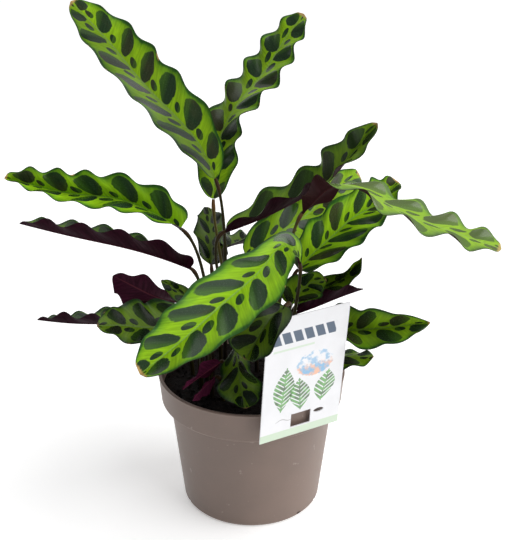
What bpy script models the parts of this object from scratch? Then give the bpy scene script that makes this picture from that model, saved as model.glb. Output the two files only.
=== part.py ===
# Potted rattlesnake plant: a tapered nursery pot, a plug of soil, a hanging care card and
# two dozen waved leaves, each on its own stem. The origin is the centre of the pot's flat
# base, +Z is up and -Y is the side where the largest leaf bends forward.

import math

import bmesh
import bpy
import numpy as np
from mathutils import Vector

MM = 0.001

# Pot
RIM_RADIUS = 70.0
POT_HEIGHT = 106.4
BAND_HEIGHT = 23.0
BAND_BOTTOM_RADIUS = 67.8
BODY_TOP_RADIUS = 61.2
BASE_RADIUS = 52.4
WALL = 1.7
LIP = 2.4
FLOOR = 2.6
POT_SEGMENTS = 48
NOTCH_ANGLES = (43.0, 67.0, 115.0, 223.0, 247.0, 295.0)
NOTCH_WIDTH = 3.4
NOTCH_FOOT = 0.9
NOTCH_HEIGHT = 2.7
NOTCH_DEPTH = 1.6

# Soil
SOIL_TOP = 93.0
SOIL_DOME = 2.2
SOIL_LUMP = 0.9
SOIL_GAP = 0.4
SOIL_SEGMENTS = 40
SOIL_RINGS = (0.9, 0.68, 0.44, 0.2)
HOLE_DEPTH = 22.0
STEM_GAP = 0.35

# Care card, hung over the rim by a tab cut out of the card itself
CARD_CENTRE = (35.8, -67.4, 138.2)
CARD_WIDTH = 63.9
CARD_HEIGHT = 98.8
CARD_THICKNESS = 0.8
CARD_TURN = 29.2
CARD_LEAN = 6.0
WINDOW_WIDTH = 16.0
WINDOW_BOTTOM = 7.0
WINDOW_TOP = 18.2
SIDE_HOLE_AT = (14.5, 15.5)
SIDE_HOLE_SIZE = (8.5, 3.6)
TAB_WIDTH = 13.0
TAB_INSIDE = 9.5

# Leaves and stems
BLADE_THICKNESS = 0.8
RIDGE = 0.9
STATION_SPACING = 5.0
COLUMNS = (-1.0, -0.55, 0.0, 0.55, 1.0)
END_HALF_WIDTH = (1.1, 0.6)
VEIN_ANGLE = 55.0
WAVE_RISE = 0.18
WAVE_FALL = 0.10
STEM_SIDES = 6
STEM_FOOT_RADIUS = 1.9
STEM_TOP_RADIUS = 1.15
SWELL_RADIUS = 1.65
SWELL_LENGTH = 13.0
STEM_STEPS = 9
JOINT_GAP = 0.3

MATERIALS = {
    "pot": ((0.24, 0.19, 0.155), 0.5),
    "soil": ((0.012, 0.009, 0.007), 0.95),
    "label": ((0.82, 0.83, 0.81), 0.55),
    "leaf": ((0.16, 0.38, 0.05), 0.35),
    "stem": ((0.17, 0.12, 0.03), 0.4),
}


def leaf(name, foot, spine, width, roll, fold, outline, waves, phase):
    """One leaf of the table. foot is where its stem leaves the soil, spine the points of the
    midrib from base to tip, roll the turn of the blade about the midrib at base, middle and
    tip, fold the lift of the right and left half, outline the bluntness of base and tip and
    the place of the greatest width, waves their count, height and scallop, phase the start of
    the waves on the right and left edge. Lengths in millimetres, angles in degrees."""
    return {
        "name": name, "foot": foot, "spine": spine, "width": width, "roll": roll,
        "fold": fold, "outline": outline, "waves": waves, "phase": phase,
    }


LEAVES = [
    leaf("a", (-20, 12), [(-26, 20, 249), (-37, 28, 271), (-57, 38, 292), (-80, 50, 313),
         (-101, 62, 336), (-115, 68, 350), (-130, 75, 364)],
         46, (76, 95, 64), (-20, -20), (0.53, 0.47, 0.47), (5.8, 1.4, 0.08), (0.31, 0.53)),
    leaf("b", (-14, 21), [(-28, 35, 228), (-27, 42, 246), (-22, 52, 272), (-11, 58, 292),
         (8, 68, 313), (24, 76, 336), (38, 82, 354)],
         39, (6, 0, -29), (-2, 15), (0.51, 0.4, 0.46), (6.7, 3.7, 0.06), (0.67, 0.08)),
    leaf("d", (-29, -1), [(-50, -5, 220), (-64, -10, 231), (-94, -15, 246), (-122, -20, 251),
         (-148, -22, 258), (-166, -22, 263)],
         45, (42, 54, 39), (65, 52), (0.35, 0.5, 0.41), (5.7, 3.6, 0.11), (0.48, 0.0)),
    leaf("e", (-33, -11), [(-44, -10, 192), (-57, -20, 202), (-83, -30, 215),
         (-119, -38, 227), (-154, -42, 238)],
         41, (-29, -31, -34), (43, 14), (0.5, 0.5, 0.45), (4.8, 2.4, 0.04), (0.0, 0.16)),
    leaf("f", (-39, 4), [(-48, 0, 161), (-66, -10, 169), (-82, -20, 182), (-96, -28, 194)],
         40, (-16, -37, -71), (-9, -9), (0.55, 0.68, 0.44), (2.6, 2.4, 0.05), (0.43, 0.51)),
    leaf("g", (-29, -22), [(-44, -35, 169), (-67, -50, 165), (-83, -60, 171), (-102, -72, 177)],
         38, (35, 37, 40), (17, 14), (0.58, 0.53, 0.43), (2.9, 2.6, 0.07), (0.87, 0.66)),
    leaf("h", (-45, 11), [(-68, 5, 142), (-96, -5, 146), (-130, -15, 151), (-153, -20, 156)],
         36, (-3, -15, -37), (22, 23), (0.55, 0.61, 0.44), (3.8, 2.4, 0.05), (0.98, 0.28)),
    leaf("i", (-24, 31), [(-31, 50, 169), (-32, 70, 177), (-33, 90, 186), (-35, 110, 194)],
         30, (-22, -27, -19), (14, 9), (0.45, 0.62, 0.45), (2.6, 2.7, 0.05), (0.04, 0.65)),
    leaf("j", (-11, 3), [(-18, 0, 216), (7, 0, 226), (33, -1, 240), (51, -3, 252),
         (64, -7, 269), (84, -12, 298)],
         39, (4, -6, -75), (38, 37), (0.5, 0.48, 0.42), (4.4, 3.5, 0.06), (0.03, 0.3)),
    leaf("k", (16, -14), [(35, -24, 239), (43, -40, 255), (53, -56, 269), (63, -68, 273),
         (78, -80, 269), (101, -95, 261), (127, -107, 255), (149, -114, 249)],
         43, (12, 14, -10), (8, 6), (0.75, 0.4, 0.55), (5.8, 3.5, 0.06), (0.63, 0.92)),
    leaf("l", (26, -2), [(34, 2, 186), (48, 8, 199), (63, 14, 211), (73, 18, 219),
         (85, 24, 224), (107, 36, 241)],
         49, (-30, -43, -17), (31, 60), (0.35, 0.4, 0.44), (4.8, 4.3, 0.05), (0.05, 0.57)),
    leaf("m", (25, -23), [(32, -52, 214), (28, -60, 227), (20, -70, 233), (7, -90, 227),
         (-16, -113, 214), (-37, -131, 201), (-66, -148, 183)],
         47, (84, 49, 29), (36, 30), (0.67, 0.4, 0.6), (6.1, 1.5, 0.05), (0.95, 0.18)),
    leaf("n", (12, -33), [(21, -80, 195), (13, -88, 191), (4, -96, 180), (-4, -102, 168)],
         45, (10, 12, 19), (34, 29), (0.44, 0.4, 0.53), (1.9, 1.9, 0.05), (0.73, 0.6)),
    leaf("o", (-9, -20), [(-11, -32, 142), (-9, -46, 131), (-7, -56, 119), (-4, -64, 109)],
         35, (-84, -52, 24), (14, 17), (0.51, 0.34, 0.45), (2.3, 2.2, 0.06), (0.08, 0.2)),
    leaf("p", (-19, -16), [(-23, -34, 129), (-31, -42, 127), (-39, -49, 124), (-48, -55, 119)],
         16, (-101, -60, -22), (14, 18), (0.55, 0.62, 0.44), (1.9, 1.7, 0.05), (0.13, 0.5)),
    leaf("q", (34, -8), [(38, -25, 144), (70, -35, 155), (87, -42, 160), (102, -48, 165),
         (121, -55, 171)],
         38, (34, -52, -69), (34, 54), (0.52, 0.67, 0.48), (3.5, 3.1, 0.08), (0.88, 0.39)),
    leaf("r", (19, -3), [(29, -12, 165), (34, -17, 176), (42, -22, 186), (52, -26, 190)],
         31, (-149, -133, -97), (1, 7), (0.59, 0.55, 0.45), (2.1, 1.6, 0.05), (0.72, 0.8)),
    leaf("s", (-9, 32), [(-19, 45, 186), (-9, 62, 182), (3, 80, 176), (13, 95, 171)],
         34, (12, 6, -2), (22, 22), (0.55, 0.62, 0.44), (2.6, 2.2, 0.05), (0.74, 0.74)),
    leaf("t", (26, 14), [(35, 18, 150), (50, 18, 160), (66, 18, 170), (81, 18, 188)],
         29, (-49, -70, -105), (68, 52), (0.57, 0.64, 0.43), (2.4, 2.6, 0.05), (0.09, 0.45)),
    leaf("u", (-37, -18), [(-42, -26, 172), (-51, -30, 183), (-62, -34, 193)],
         13, (93, 94, 95), (22, 22), (0.55, 0.62, 0.44), (2.0, 1.1, 0.05), (0.8, 0.5)),
    leaf("v", (30, -20), [(35, -24, 126), (56, -30, 132), (73, -36, 135), (86, -40, 137)],
         31, (18, 5, -16), (-12, -12), (0.54, 0.59, 0.44), (2.5, 1.9, 0.05), (0.41, 0.96)),
    leaf("w", (4, 14), [(-4, 20, 188), (13, 30, 197), (25, 38, 203), (37, 46, 208),
         (60, 58, 223), (82, 70, 236)],
         41, (-47, -76, -77), (22, 21), (0.43, 0.4, 0.44), (4.0, 2.5, 0.04), (0.14, 0.14)),
    leaf("x", (40, 0), [(34, 4, 150), (49, 2, 157), (65, 0, 165), (81, -2, 172)],
         30, (37, 33, 29), (22, 22), (0.55, 0.62, 0.44), (2.2, 1.8, 0.05), (0.41, 0.49)),
    leaf("y", (-21, -28), [(-26, -42, 121), (-32, -48, 118), (-37, -53, 115), (-41, -57, 111)],
         13, (103, 103, 103), (22, 22), (0.55, 0.62, 0.44), (2.0, 0.9, 0.05), (0.95, 0.5)),
]


# Curves


def unit(vectors):
    """The same directions with length one."""
    return vectors / np.linalg.norm(vectors, axis=-1, keepdims=True)


def smooth_curve(points, count):
    """A natural cubic spline through the points, sampled at even steps of its length."""
    points = np.asarray(points, dtype=float)
    steps = np.linalg.norm(np.diff(points, axis=0), axis=1)
    knots = np.concatenate([[0.0], np.cumsum(steps)]) / steps.sum()
    gaps = np.diff(knots)
    size = len(points)
    system = np.eye(size)
    bends = np.zeros_like(points)
    for row in range(1, size - 1):
        before = gaps[row - 1]
        after = gaps[row]
        system[row, row - 1:row + 2] = (before, 2.0 * (before + after), after)
        slope_after = (points[row + 1] - points[row]) / after
        slope_before = (points[row] - points[row - 1]) / before
        bends[row] = 6.0 * (slope_after - slope_before)
    bends = np.linalg.solve(system, bends)

    def at(where):
        cell = np.clip(np.searchsorted(knots, where, side="right") - 1, 0, size - 2)
        gap = gaps[cell][:, None]
        right = (where - knots[cell])[:, None] / gap
        left = 1.0 - right
        bend = (left ** 3 - left) * bends[cell] + (right ** 3 - right) * bends[cell + 1]
        return left * points[cell] + right * points[cell + 1] + bend * gap ** 2 / 6.0

    fine = np.linspace(0.0, 1.0, 400)
    lengths = np.linalg.norm(np.diff(at(fine), axis=0), axis=1)
    travelled = np.concatenate([[0.0], np.cumsum(lengths)])
    even = np.interp(np.linspace(0.0, travelled[-1], count), travelled, fine)
    return at(even), travelled[-1]


def half_width(spec, along):
    """Half the width along the leaf: a power of a sine, blunter or sharper at each end."""
    base, tip, peak = spec["outline"]
    skew = math.log(0.5) / math.log(peak)
    arch = np.clip(np.sin(np.pi * along ** skew), 0.0, None)
    half = spec["width"] / 2.0 * arch ** (base + (tip - base) * along)
    least = END_HALF_WIDTH[0] + (END_HALF_WIDTH[1] - END_HALF_WIDTH[0]) * along
    return np.maximum(half, least)


def blade_surface(spec, stations, columns):
    """The leaf's middle surface: midrib curve plus a folded, rolled cross line whose outer
    part rises and falls along the edge, the waves running out along the side veins."""
    curve, length = smooth_curve(spec["spine"], stations)
    along = np.linspace(0.0, 1.0, stations)
    ahead = unit(np.gradient(curve, axis=0))
    level = unit(np.cross(ahead, (0.0, 0.0, 1.0)))
    above = np.cross(level, ahead)
    turn = np.radians(np.interp(along, (0.0, 0.5, 1.0), spec["roll"]))[:, None]
    side = level * np.cos(turn) + above * np.sin(turn)
    lift = above * np.cos(turn) - level * np.sin(turn)
    half = half_width(spec, along)
    count, height, scallop = spec["waves"]
    fade = np.clip(np.minimum(along / WAVE_RISE, (1.0 - along) / WAVE_FALL), 0.0, 1.0)
    grid = np.zeros((stations, len(columns), 3))
    for index, across in enumerate(columns):
        reach = abs(across)
        hand = 0 if across > 0 else 1
        slope = math.radians(spec["fold"][hand])
        shift = reach * half / math.tan(math.radians(VEIN_ANGLE)) / length
        wave = 2.0 * np.pi * ((along - shift) * count + spec["phase"][hand])
        span = reach * half * (1.0 + scallop * np.sin(wave) * fade)
        rise = span * math.sin(slope) + height * reach ** 1.6 * np.cos(wave) * fade
        out = span * math.cos(slope) * (1.0 if across > 0 else -1.0)
        grid[:, index] = curve + out[:, None] * side + rise[:, None] * lift
    return grid


# Meshes


def make_node(name, vertices, faces, material, smooth=False):
    """A named object with one material from points in millimetres."""
    mesh = bpy.data.meshes.new(name)
    mesh.from_pydata([tuple(point) for point in np.asarray(vertices) * MM], [], faces)
    work = bmesh.new()
    work.from_mesh(mesh)
    bmesh.ops.triangulate(work, faces=[face for face in work.faces if len(face.verts) > 4])
    bmesh.ops.recalc_face_normals(work, faces=work.faces)
    work.to_mesh(mesh)
    work.free()
    node = bpy.data.objects.new(name, mesh)
    bpy.context.scene.collection.objects.link(node)
    node.data.materials.append(make_material(name, material))
    for polygon in mesh.polygons:
        polygon.use_smooth = smooth
    return node


def make_material(name, kind):
    """A plain Principled material for one node."""
    colour, roughness = MATERIALS[kind]
    material = bpy.data.materials.new(name)
    material.use_nodes = True
    shader = material.node_tree.nodes["Principled BSDF"]
    shader.inputs["Base Color"].default_value = (*colour, 1.0)
    shader.inputs["Roughness"].default_value = roughness
    return material


def cut(node, cutter, operation="DIFFERENCE"):
    """Apply a Boolean with the cutter and remove the cutter."""
    modifier = node.modifiers.new("cut", "BOOLEAN")
    modifier.operation = operation
    modifier.solver = "EXACT"
    modifier.object = cutter
    cutter.hide_render = True
    cutter.display_type = "WIRE"
    graph = bpy.context.evaluated_depsgraph_get()
    result = bpy.data.meshes.new_from_object(node.evaluated_get(graph))
    node.modifiers.clear()
    materials = list(node.data.materials)
    node.data = result
    node.data.materials.clear()
    node.data.materials.append(materials[0])
    bpy.data.objects.remove(cutter)


def lathe(profile, segments):
    """Points and faces of a profile of (radius, height) turned about the vertical axis. A
    profile point on the axis becomes one point."""
    turns = 2.0 * np.pi * np.arange(segments) / segments
    vertices = []
    rings = []
    for radius, height in profile:
        start = len(vertices)
        if radius == 0.0:
            vertices.append((0.0, 0.0, height))
            rings.append([start] * segments)
        else:
            for turn in turns:
                vertices.append((radius * math.cos(turn), radius * math.sin(turn), height))
            rings.append(list(range(start, start + segments)))
    faces = []
    for lower, upper in zip(rings[:-1], rings[1:]):
        for index in range(segments):
            following = (index + 1) % segments
            corner = [lower[index], lower[following], upper[following], upper[index]]
            faces.append([c for n, c in enumerate(corner) if c not in corner[:n]])
    return vertices, faces


def box(size, centre, turn=0.0):
    """Points and faces of a box turned about the vertical axis."""
    half = [value / 2.0 for value in size]
    cosine = math.cos(math.radians(turn))
    sine = math.sin(math.radians(turn))
    vertices = []
    for across in (-half[0], half[0]):
        for deep in (-half[1], half[1]):
            for high in (-half[2], half[2]):
                vertices.append((
                    centre[0] + across * cosine - deep * sine,
                    centre[1] + across * sine + deep * cosine,
                    centre[2] + high,
                ))
    faces = [(0, 1, 3, 2), (4, 6, 7, 5), (0, 4, 5, 1), (2, 3, 7, 6), (0, 2, 6, 4), (1, 5, 7, 3)]
    return vertices, faces


def joined(parts):
    """Several lists of points and faces as one."""
    vertices = []
    faces = []
    for points, polygons in parts:
        start = len(vertices)
        vertices.extend(points)
        faces.extend([[index + start for index in polygon] for polygon in polygons])
    return vertices, faces


# Pieces


def build_pot():
    """The tapered pot with its rim band, a small step under it and pockets at the foot."""
    band = POT_HEIGHT - BAND_HEIGHT
    profile = [
        (0.0, 0.0), (BASE_RADIUS - 1.6, 0.0), (BASE_RADIUS, 1.8), (BODY_TOP_RADIUS, band - 3.4),
        (BODY_TOP_RADIUS + 3.4, band - 1.6), (BAND_BOTTOM_RADIUS, band + 1.4),
        (RIM_RADIUS - 0.4, POT_HEIGHT - 1.6), (RIM_RADIUS, POT_HEIGHT - 0.9),
        (RIM_RADIUS - 0.5, POT_HEIGHT), (RIM_RADIUS - LIP, POT_HEIGHT),
        (RIM_RADIUS - LIP - 0.5, POT_HEIGHT - 1.2), (BAND_BOTTOM_RADIUS - WALL, band + 1.0),
        (BODY_TOP_RADIUS - WALL, band - 2.6), (BASE_RADIUS - WALL, FLOOR + 1.4),
        (BASE_RADIUS - WALL - 1.4, FLOOR), (0.0, FLOOR),
    ]
    pot = make_node("pot", *lathe(profile, POT_SEGMENTS), "pot", smooth=True)
    notches = []
    for angle in NOTCH_ANGLES:
        turn = math.radians(angle - 90.0)
        reach = BASE_RADIUS - NOTCH_DEPTH / 2.0 + 0.8
        middle = NOTCH_FOOT + NOTCH_HEIGHT / 2.0
        centre = (reach * math.cos(turn), reach * math.sin(turn), middle)
        size = (NOTCH_DEPTH + 1.6, NOTCH_WIDTH, NOTCH_HEIGHT)
        notches.append(box(size, centre, angle - 90.0))
    cut(pot, make_node("notches", *joined(notches), "pot"))
    for polygon in pot.data.polygons:
        polygon.use_smooth = True
    return pot


def build_soil(seed=7):
    """The soil plug that fills the pot, its lumpy top pierced by a plain hole a stem."""
    random = np.random.default_rng(seed)
    band = POT_HEIGHT - BAND_HEIGHT
    inner = WALL + SOIL_GAP
    edge = BAND_BOTTOM_RADIUS - inner + 0.55
    profile = [
        (0.0, FLOOR + SOIL_GAP), (BASE_RADIUS - inner - 1.5, FLOOR + SOIL_GAP),
        (BASE_RADIUS - inner, FLOOR + 1.6), (BODY_TOP_RADIUS - inner, band - 2.4),
        (BAND_BOTTOM_RADIUS - inner, band + 1.3), (edge, SOIL_TOP),
    ]
    profile += [(edge * share, SOIL_TOP + SOIL_DOME * (1.0 - share)) for share in SOIL_RINGS]
    profile += [(0.0, SOIL_TOP + SOIL_DOME)]
    vertices, faces = lathe(profile, SOIL_SEGMENTS)
    vertices = np.array(vertices)
    inside = np.hypot(vertices[:, 0], vertices[:, 1]) < edge - 1.0
    loose = inside & (vertices[:, 2] > SOIL_TOP)
    vertices[loose, 2] += random.uniform(-SOIL_LUMP, SOIL_LUMP, loose.sum())
    soil = make_node("soil", vertices, faces, "soil")
    holes = []
    bottom = SOIL_TOP - HOLE_DEPTH
    for spec in LEAVES:
        radius = (STEM_FOOT_RADIUS + STEM_GAP) / math.cos(math.pi / 8.0)
        hole = [(0.0, bottom), (radius, bottom), (radius, POT_HEIGHT), (0.0, POT_HEIGHT)]
        points, polygons = lathe(hole, 8)
        holes.append((np.array(points) + (*spec["foot"], 0.0), polygons))
    cut(soil, make_node("holes", *joined(holes), "soil"))
    return soil


def build_label():
    """The stiff card: a window near its foot whose tab folds back over the pot's rim."""
    up = CARD_HEIGHT / 2.0
    plate = box((CARD_WIDTH, CARD_THICKNESS, CARD_HEIGHT), (0.0, 0.0, 0.0))
    label = make_node("label", *plate, "label")
    middle = (WINDOW_BOTTOM + WINDOW_TOP) / 2.0 - up
    opening = box((WINDOW_WIDTH, 6.0, WINDOW_TOP - WINDOW_BOTTOM), (0.0, 0.0, middle))
    cut(label, make_node("window", *opening, "label"))
    turns = 2.0 * np.pi * np.arange(10) / 10.0
    slot = []
    for deep in (-3.0, 3.0):
        for turn in turns:
            slot.append((
                SIDE_HOLE_AT[0] + SIDE_HOLE_SIZE[0] / 2.0 * math.cos(turn), deep,
                SIDE_HOLE_AT[1] - up + SIDE_HOLE_SIZE[1] / 2.0 * math.sin(turn),
            ))
    walls = [(n, (n + 1) % 10, 10 + (n + 1) % 10, 10 + n) for n in range(10)]
    walls += [tuple(range(10)), tuple(range(10, 20))]
    cut(label, make_node("side_hole", slot, walls, "label"))
    # Lean the card out at its top, then bring the tab in as a level hook over the rim
    lean = math.radians(CARD_LEAN)
    points = np.array([vertex.co for vertex in label.data.vertices]) / MM
    leaned = points.copy()
    leaned[:, 1] = points[:, 1] * math.cos(lean) - points[:, 2] * math.sin(lean)
    leaned[:, 2] = points[:, 2] * math.cos(lean) + points[:, 1] * math.sin(lean)
    label.data.vertices.foreach_set("co", (leaned * MM).astype(np.float32).ravel())
    turn = math.radians(CARD_TURN)
    outward = (math.sin(turn), -math.cos(turn))
    distance = CARD_CENTRE[0] * outward[0] + CARD_CENTRE[1] * outward[1]
    level = POT_HEIGHT + JOINT_GAP - CARD_CENTRE[2]
    inside = distance - (RIM_RADIUS - LIP - 0.5 - JOINT_GAP - 1.2)
    plane = -math.tan(lean) * (level + CARD_THICKNESS / 2.0)
    hook = [
        (plane, level), (plane, level + CARD_THICKNESS),
        (inside + CARD_THICKNESS, level + CARD_THICKNESS),
        (inside + CARD_THICKNESS, level - TAB_INSIDE), (inside, level - TAB_INSIDE),
        (inside, level),
    ]
    tab = [(across, deep, high) for across in (-TAB_WIDTH / 2.0, TAB_WIDTH / 2.0)
           for deep, high in hook]
    sides = [(n, (n + 1) % 6, 6 + (n + 1) % 6, 6 + n) for n in range(6)]
    sides += [(0, 1, 2, 5), (2, 3, 4, 5), (6, 11, 8, 7), (8, 11, 10, 9)]
    cut(label, make_node("tab", tab, sides, "label"), "UNION")
    label.location = Vector(CARD_CENTRE) * MM
    label.rotation_euler = (0.0, 0.0, turn)
    return label


def build_blade(spec):
    """The thin waved blade with its midrib standing out as a ridge underneath."""
    length = smooth_curve(spec["spine"], 9)[1]
    stations = max(9, round(length / STATION_SPACING))
    middle = blade_surface(spec, stations, COLUMNS)
    along = np.gradient(middle, axis=0)
    across = np.gradient(middle, axis=1)
    normal = unit(np.cross(across, along))
    top = middle + normal * BLADE_THICKNESS / 2.0
    under = middle - normal * BLADE_THICKNESS / 2.0
    centre = len(COLUMNS) // 2
    taper = (1.0 - 0.8 * np.linspace(0.0, 1.0, stations))[:, None]
    under[:, centre] -= normal[:, centre] * RIDGE * taper
    wide = len(COLUMNS)
    total = stations * wide
    vertices = np.concatenate([top.reshape(-1, 3), under.reshape(-1, 3)])
    faces = []
    for row in range(stations - 1):
        for column in range(wide - 1):
            first = row * wide + column
            second = first + wide
            if column < centre:
                halves = [(first, first + 1, second + 1), (first, second + 1, second)]
            else:
                halves = [(first, first + 1, second), (first + 1, second + 1, second)]
            for half in halves:
                faces.append(half)
                faces.append(tuple(total + index for index in reversed(half)))
    rim = [column for column in range(wide)]
    rim += [row * wide + wide - 1 for row in range(1, stations)]
    rim += [(stations - 1) * wide + column for column in range(wide - 2, -1, -1)]
    rim += [row * wide for row in range(stations - 2, 0, -1)]
    for index, corner in enumerate(rim):
        following = rim[(index + 1) % len(rim)]
        faces.append((corner, total + corner, total + following))
        faces.append((corner, total + following, following))
    return make_node("leaf_" + spec["name"], vertices, faces, "leaf", smooth=True)


def stem_path(spec):
    """The stem's centre line: straight in its hole, then a cubic bend that ends along the
    midrib a small gap below the blade."""
    curve = smooth_curve(spec["spine"], 40)[0]
    ahead = unit(curve[1] - curve[0])
    foot = np.array((*spec["foot"], SOIL_TOP + SOIL_DOME + SOIL_LUMP))
    end = curve[0] - ahead * JOINT_GAP
    reach = np.linalg.norm(end - foot)
    rise = foot + (0.0, 0.0, 0.42 * reach)
    arrive = end - ahead * 0.18 * reach
    share = np.linspace(0.0, 1.0, STEM_STEPS + 1)[:, None]
    back = 1.0 - share
    bend = (back ** 3 * foot + 3.0 * back ** 2 * share * rise
            + 3.0 * back * share ** 2 * arrive + share ** 3 * end)
    bottom = foot.copy()
    bottom[2] = SOIL_TOP - HOLE_DEPTH + JOINT_GAP
    return np.concatenate([bottom[None], bend]), ahead


def build_stem(spec):
    """A round stem, thick at the foot, thin above, with the swollen joint under the blade."""
    path, ahead = stem_path(spec)
    steps = np.linalg.norm(np.diff(path, axis=0), axis=1)
    left = np.concatenate([np.cumsum(steps[::-1])[::-1], [0.0]])
    share = np.clip(1.0 - left / left[1], 0.0, 1.0)
    radius = STEM_FOOT_RADIUS + (STEM_TOP_RADIUS - STEM_FOOT_RADIUS) * share
    swell = np.exp(-((left - SWELL_LENGTH * 0.45) / (SWELL_LENGTH * 0.4)) ** 2)
    radius = radius + (SWELL_RADIUS - STEM_TOP_RADIUS) * swell * np.minimum(left[1] / 60.0, 1.0)
    tangent = unit(np.gradient(path, axis=0))
    tangent[0] = tangent[1] = (0.0, 0.0, 1.0)
    tangent[-1] = ahead
    aside = np.array((1.0, 0.0, 0.0))
    vertices = []
    for point, direction, reach in zip(path, tangent, radius):
        aside = unit(aside - direction * (aside @ direction))
        other = np.cross(direction, aside)
        for index in range(STEM_SIDES):
            turn = 2.0 * math.pi * index / STEM_SIDES
            vertices.append(point + reach * (math.cos(turn) * aside + math.sin(turn) * other))
    faces = []
    rows = len(path)
    for row in range(rows - 1):
        for index in range(STEM_SIDES):
            following = (index + 1) % STEM_SIDES
            base = row * STEM_SIDES
            faces.append((base + index, base + following,
                          base + STEM_SIDES + following, base + STEM_SIDES + index))
    faces.append(tuple(reversed(range(STEM_SIDES))))
    faces.append(tuple((rows - 1) * STEM_SIDES + index for index in range(STEM_SIDES)))
    return make_node("stem_" + spec["name"], vertices, faces, "stem", smooth=True)


def build_part():
    """Clear the scene and make every piece."""
    for item in list(bpy.data.objects):
        bpy.data.objects.remove(item)
    build_pot()
    build_soil()
    build_label()
    for spec in LEAVES:
        build_blade(spec)
        build_stem(spec)


build_part()
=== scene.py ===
"""Dresses the potted rattlesnake plant: finely waved leaves with their markings, round
stems, crumbly soil, the moulded pot, its hanging care card and a plain pale studio."""

import math
from collections import namedtuple

import bmesh
import bpy
import numpy as np
from bpy.props import FloatProperty, FloatVectorProperty, IntProperty, PointerProperty
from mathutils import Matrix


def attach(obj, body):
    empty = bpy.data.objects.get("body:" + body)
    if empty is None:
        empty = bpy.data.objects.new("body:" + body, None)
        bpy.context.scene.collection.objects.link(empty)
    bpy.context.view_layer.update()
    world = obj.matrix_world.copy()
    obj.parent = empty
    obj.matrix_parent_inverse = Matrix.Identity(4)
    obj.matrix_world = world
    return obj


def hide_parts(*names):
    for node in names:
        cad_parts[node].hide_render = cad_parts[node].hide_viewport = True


bl_info = {
    "name": "Potted Rattlesnake Plant",
    "version": (1, 0, 0),
    "blender": (4, 5, 0),
    "location": "View3D > Sidebar > Rattlesnake Plant",
    "description": "Builds a rattlesnake plant in its nursery pot with leaves, soil and card",
    "category": "Add Mesh",
}

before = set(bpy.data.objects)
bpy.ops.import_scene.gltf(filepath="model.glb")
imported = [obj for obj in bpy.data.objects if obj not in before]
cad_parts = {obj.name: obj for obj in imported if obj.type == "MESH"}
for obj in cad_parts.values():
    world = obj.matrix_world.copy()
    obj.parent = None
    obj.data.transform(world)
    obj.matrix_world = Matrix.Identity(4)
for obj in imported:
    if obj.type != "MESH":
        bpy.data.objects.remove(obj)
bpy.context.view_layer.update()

MM = 0.001
MERGE_DISTANCE = 0.0001

# Pot and soil, in millimetres
RIM_RADIUS = 70.0
POT_HEIGHT = 106.4
BAND_HEIGHT = 23.0
BAND_BOTTOM_RADIUS = 67.8
BODY_TOP_RADIUS = 61.2
BASE_RADIUS = 52.4
WALL = 1.7
LIP = 2.4
FLOOR = 2.6
NOTCH_ANGLES = (43.0, 67.0, 115.0, 223.0, 247.0, 295.0)
NOTCH_WIDTH = 3.4
NOTCH_FOOT = 0.9
NOTCH_HEIGHT = 2.7
NOTCH_DEPTH = 1.6
POLE_RADIUS = 0.05
SOIL_TOP = 93.0
SOIL_DOME = 2.2
SOIL_LUMP = 0.9
SOIL_GAP = 0.4
HOLE_DEPTH = 22.0
SOIL_RINGS = 90
SOIL_SEGMENTS = 220
# Fineness, seed and height of the soil's coarse and fine lumps
SOIL_WAVES = ((0.22, 3, 0.9), (0.9, 5, 0.55))
CRUMB_SIZES = (0.5, 1.5)
CRUMB_SEED = 11

# Care card, in millimetres and degrees
CARD_CENTRE = (35.8, -67.4, 138.2)
CARD_TURN = 29.2
CARD_LEAN = 6.0
CARD_UNIT = 100.0
BACK_SHIFT = 10.0
# Centre, foot, height and lean of each printed sprig
SPRIGS = ((-17.0, -27.0, 36.0, 0.08), (-1.0, -29.0, 27.0, -0.10), (15.0, -26.0, 25.0, 0.20))

# Leaves and stems, in millimetres and degrees
END_HALF_WIDTH = (1.1, 0.6)
VEIN_ANGLE = 55.0
WAVE_RISE = 0.18
WAVE_FALL = 0.10
WAVE_POWER = 1.6
JOINT_GAP = 0.3
STEM_FOOT_RADIUS = 1.65
STEM_TOP_RADIUS = 1.0
SWELL_RADIUS = 1.5
SWELL_LENGTH = 13.0
SWELL_PLACE = 0.45
SWELL_SPREAD = 0.4
MARK_ANGLE = 50.0
RIM_THINNING = 0.55
QUILT_HEIGHT = 0.07
QUILTS_PER_BLOTCH = 4.0
GROOVE_DEPTH = 0.22
RIDGE_HEIGHT = 0.85
RIDGE_TAPER = 0.8
RIB_REACH = 0.9
STEM_STATIONS = 60
SUNK_STATIONS = 5
STEM_RISE = 0.42
STEM_ARRIVAL = 0.18
SHORT_STEM = 60.0
STEM_COLOUR_LENGTH = 110.0

# Stage: the floor in millimetres, the rest in metres, degrees and Blender's lens units
FLOOR_HALF = 6000.0
FLOOR_DROP = 0.2
KEY_PLACE = (0.80, -0.24, 0.82)
KEY_ANGLE = 66.0
FILL_PLACE = (-0.35, 0.7, 1.2)
FILL_SIDE = 1.3
LIGHT_AIM = (0.0, 0.0, 0.15)
SENSOR_WIDTH = 36.0
CAMERA_SHIFT = 0.0019

# One leaf: foot is where its stem leaves the soil, spine the points of the midrib from base
# to tip, roll the turn of the blade about the midrib at base, middle and tip, fold the lift
# of the right and left half, outline the bluntness of base and tip and the place of the
# greatest width, waves their count, height and scallop, and phase the start of the waves on
# the right and left edge. Lengths in millimetres, angles in degrees.
Leaf = namedtuple("Leaf", "name foot spine width roll fold outline waves phase")

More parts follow.
